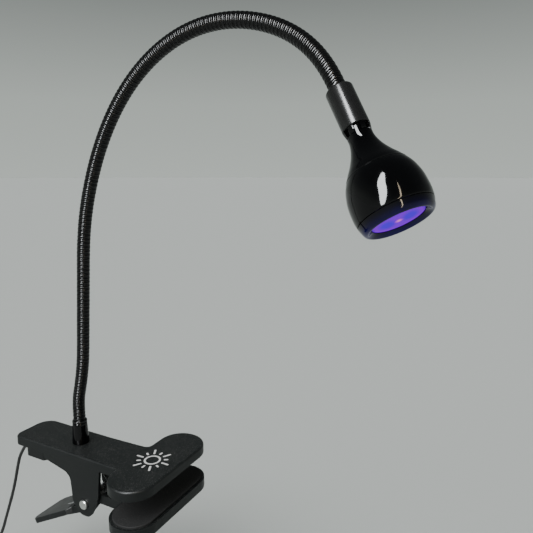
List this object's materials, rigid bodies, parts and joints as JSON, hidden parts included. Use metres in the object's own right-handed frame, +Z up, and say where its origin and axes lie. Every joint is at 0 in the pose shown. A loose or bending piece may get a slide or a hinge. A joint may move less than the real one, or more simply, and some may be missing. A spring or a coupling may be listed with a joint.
{
  "type": "clamp-on gooseneck curing lamp",
  "caption": "Clamp-on ultraviolet curing lamp: spring clamp, flexible gooseneck hose, bulb-shaped head with lens, cord with switch and plug.",
  "frame": {"origin": "centre line of the clamp on the contact face of the upper jaw's pad, which rests on the table top", "axes": "+X from the rear of the handle to the jaws, +Y along the jaws to their longer end, +Z up, out of the table top"},
  "size_m": [0.4052, 0.136, 0.4573],
  "materials": {
    "jaw_plastic": "moulded, satin black",
    "pad_rubber": "soft, matte black",
    "fastener_steel": "zinc plated",
    "spring_wire": "drawn spring steel",
    "gloss_plastic": "piano black",
    "hose_metal": "wound steel hose, gloss black",
    "cord_sheath": "satin black sheath",
    "cord_moulding": "moulded, black",
    "white_plastic": "moulded, white",
    "red_insulation": "thin insulation",
    "lens_plastic": "clear violet, polished",
    "reflector_coat": "metallised bowl",
    "sink_aluminium": "as extruded",
    "board_white": "solder-resist white",
    "emitter_phosphor": "clear dome over the dies"
  },
  "bodies": {
    "clamp": {"coil_tie": "white_plastic", "cord_bush": "pad_rubber", "cord_coil": "cord_sheath", "cord_drop": "cord_sheath", "cord_link": "cord_sheath", "cord_tail": "cord_sheath", "hose_collar": "gloss_plastic", "hose_collar_ring": "gloss_plastic", "hose_link_01": "hose_metal", "hose_nut": "fastener_steel", "hose_stud": "fastener_steel", "hose_washer": "fastener_steel", "lead_far": "cord_moulding", "lead_near": "red_insulation", "pivot_clip": "fastener_steel", "pivot_pin": "fastener_steel", "plug_grip": "cord_moulding", "plug_shell": "fastener_steel", "plug_tongue": "white_plastic", "splice_far": "white_plastic", "splice_near": "white_plastic", "switch_base": "cord_moulding", "switch_cover": "cord_moulding", "switch_screw_front": "fastener_steel", "switch_screw_rear": "fastener_steel", "torsion_spring": "spring_wire", "upper_jaw_pad": "pad_rubber", "upper_jaw_shell": "jaw_plastic", "wiring_cover": "jaw_plastic", "wiring_cover_screw_far": "fastener_steel", "wiring_cover_screw_near": "fastener_steel"},
    "lower_jaw": {"lower_jaw_shell": "jaw_plastic", "lower_jaw_pad": "pad_rubber", "torsion_spring_lower_end": "spring_wire"},
    "hose_02": {"hose_link_02": "hose_metal"},
    "hose_03": {"hose_link_03": "hose_metal"},
    "hose_04": {"hose_link_04": "hose_metal"},
    "hose_05": {"hose_link_05": "hose_metal"},
    "hose_06": {"hose_link_06": "hose_metal"},
    "hose_07": {"hose_link_07": "hose_metal"},
    "hose_08": {"hose_link_08": "hose_metal"},
    "hose_09": {"hose_link_09": "hose_metal"},
    "hose_10": {"hose_link_10": "hose_metal"},
    "hose_11": {"hose_link_11": "hose_metal"},
    "hose_12": {"hose_link_12": "hose_metal"},
    "head": {"hose_link_13": "hose_metal", "head_sleeve": "gloss_plastic", "neck_ring": "gloss_plastic", "neck_shell": "gloss_plastic", "bulb_shell": "gloss_plastic", "front_bezel": "gloss_plastic", "lens": "lens_plastic", "reflector": "reflector_coat", "led_board": "board_white", "led_emitter": "emitter_phosphor", "heat_sink": "sink_aluminium", "led_board_screw_a": "fastener_steel", "led_board_screw_b": "fastener_steel"},
    "rocker": {"switch_rocker": "white_plastic"}
  },
  "joints": [
    {"name": "jaw_pivot", "type": "hinge", "parent": "clamp", "child": "lower_jaw", "pos_m": [-0.058, 0, -0.033], "axis": [0, 1, 0], "range_deg": [-15, 30], "stiffness_Nm_per_rad": 0.8, "springref_deg": -34.38},
    {"name": "hose_bend_01", "type": "hinge", "parent": "clamp", "child": "hose_02", "pos_m": [-0.07255, -0.00015, 0.06395], "axis": [0.0349, 0.9994, 0], "range_deg": [-30, 14]},
    {"name": "hose_swing_02", "type": "hinge", "parent": "hose_02", "child": "hose_03", "pos_m": [-0.06673, -0.00036, 0.09966], "axis": [0.9955, -0.0348, -0.0877], "range_deg": [-20, 20]},
    {"name": "hose_bend_03", "type": "hinge", "parent": "hose_03", "child": "hose_04", "pos_m": [-0.06358, -0.00047, 0.13575], "axis": [0.0349, 0.9994, 0], "range_deg": [-30, 14]},
    {"name": "hose_swing_04", "type": "hinge", "parent": "hose_04", "child": "hose_05", "pos_m": [-0.06037, -0.00058, 0.17184], "axis": [0.9944, -0.0347, -0.0999], "range_deg": [-20, 20]},
    {"name": "hose_bend_05", "type": "hinge", "parent": "hose_05", "child": "hose_06", "pos_m": [-0.05431, -0.00079, 0.20752], "axis": [0.0349, 0.9994, 0], "range_deg": [-30, 14]},
    {"name": "hose_swing_06", "type": "hinge", "parent": "hose_06", "child": "hose_07", "pos_m": [-0.04236, -0.00121, 0.24168], "axis": [0.913, -0.0319, -0.4067], "range_deg": [-20, 20]},
    {"name": "hose_bend_07", "type": "hinge", "parent": "hose_07", "child": "hose_08", "pos_m": [-0.0247, -0.00182, 0.27325], "axis": [0.0349, 0.9994, 0], "range_deg": [-30, 14]},
    {"name": "hose_swing_08", "type": "hinge", "parent": "hose_08", "child": "hose_09", "pos_m": [-0.0007, -0.00266, 0.30025], "axis": [0.6552, -0.0229, -0.7551], "range_deg": [-20, 20]},
    {"name": "hose_bend_09", "type": "hinge", "parent": "hose_09", "child": "hose_10", "pos_m": [0.02965, -0.00372, 0.31977], "axis": [0.0349, 0.9994, 0], "range_deg": [-30, 14]},
    {"name": "hose_swing_10", "type": "hinge", "parent": "hose_10", "child": "hose_11", "pos_m": [0.06455, -0.00494, 0.32875], "axis": [0.0779, -0.0027, -0.997], "range_deg": [-20, 20]},
    {"name": "hose_bend_11", "type": "hinge", "parent": "hose_11", "child": "hose_12", "pos_m": [0.10039, -0.00642, 0.32527], "axis": [0.0729, 0.9973, 0], "range_deg": [-30, 14]},
    {"name": "hose_swing_12", "type": "hinge", "parent": "hose_12", "child": "head", "pos_m": [0.13234, -0.01184, 0.30962], "axis": [-0.5646, 0.1638, -0.809], "range_deg": [-20, 20]},
    {"name": "rocker_pivot", "type": "hinge", "parent": "clamp", "child": "rocker", "pos_m": [-0.125, -0.071, -0.1118], "axis": [0, 1, 0], "range_deg": [-18, 0]}
  ]
}
